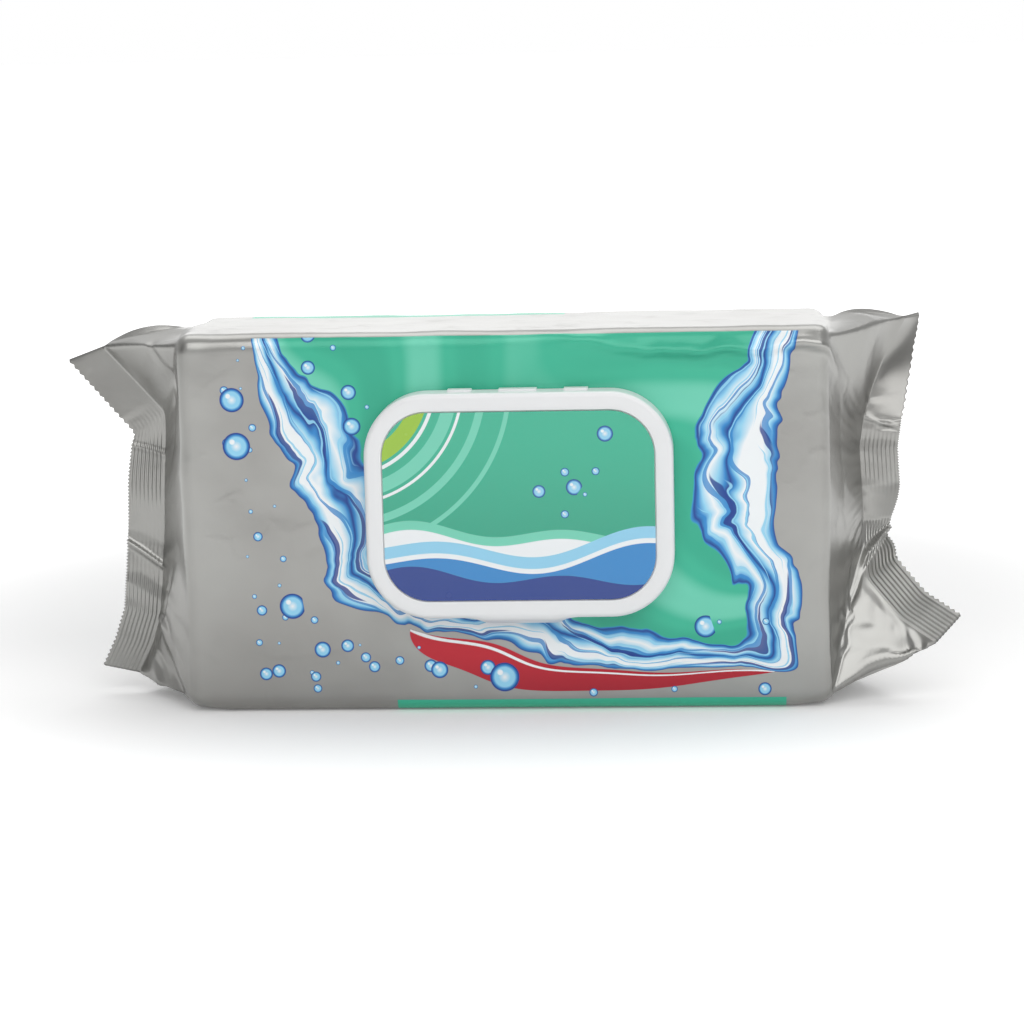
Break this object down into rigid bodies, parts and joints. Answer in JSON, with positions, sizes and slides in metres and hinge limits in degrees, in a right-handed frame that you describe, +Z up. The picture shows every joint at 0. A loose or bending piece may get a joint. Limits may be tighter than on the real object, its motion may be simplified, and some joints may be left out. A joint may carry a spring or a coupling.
{
  "type": "wet wipes pack",
  "caption": "Sealed film pack of wet wipes standing on its long side, with crimped end seals and a hinged flip-top lid over its dispensing window.",
  "frame": {"origin": "middle of the flat side that the pack stands on, at the surface it stands on", "axes": "+X along the pack's length to the viewer's right, -Y out of the face that carries the lid, +Z up"},
  "size_m": [0.2611, 0.0685, 0.11],
  "materials": {
    "silver_film": "satin metallised film",
    "white_plastic": "moulded polypropylene",
    "green_label": "glossy printed label",
    "seal_film": "satin sealing film"
  },
  "bodies": {
    "pack": {"film_pack": "silver_film", "lid_frame": "white_plastic", "peel_seal": "seal_film"},
    "lid": {"lid_cover": "white_plastic", "lid_skirt": "white_plastic", "lid_label": "green_label"}
  },
  "joints": [
    {"name": "lid_hinge", "type": "hinge", "parent": "pack", "child": "lid", "pos_m": [0.005, -0.03215, 0.09415], "axis": [-1, 0, 0], "range_deg": [0, 110]}
  ]
}
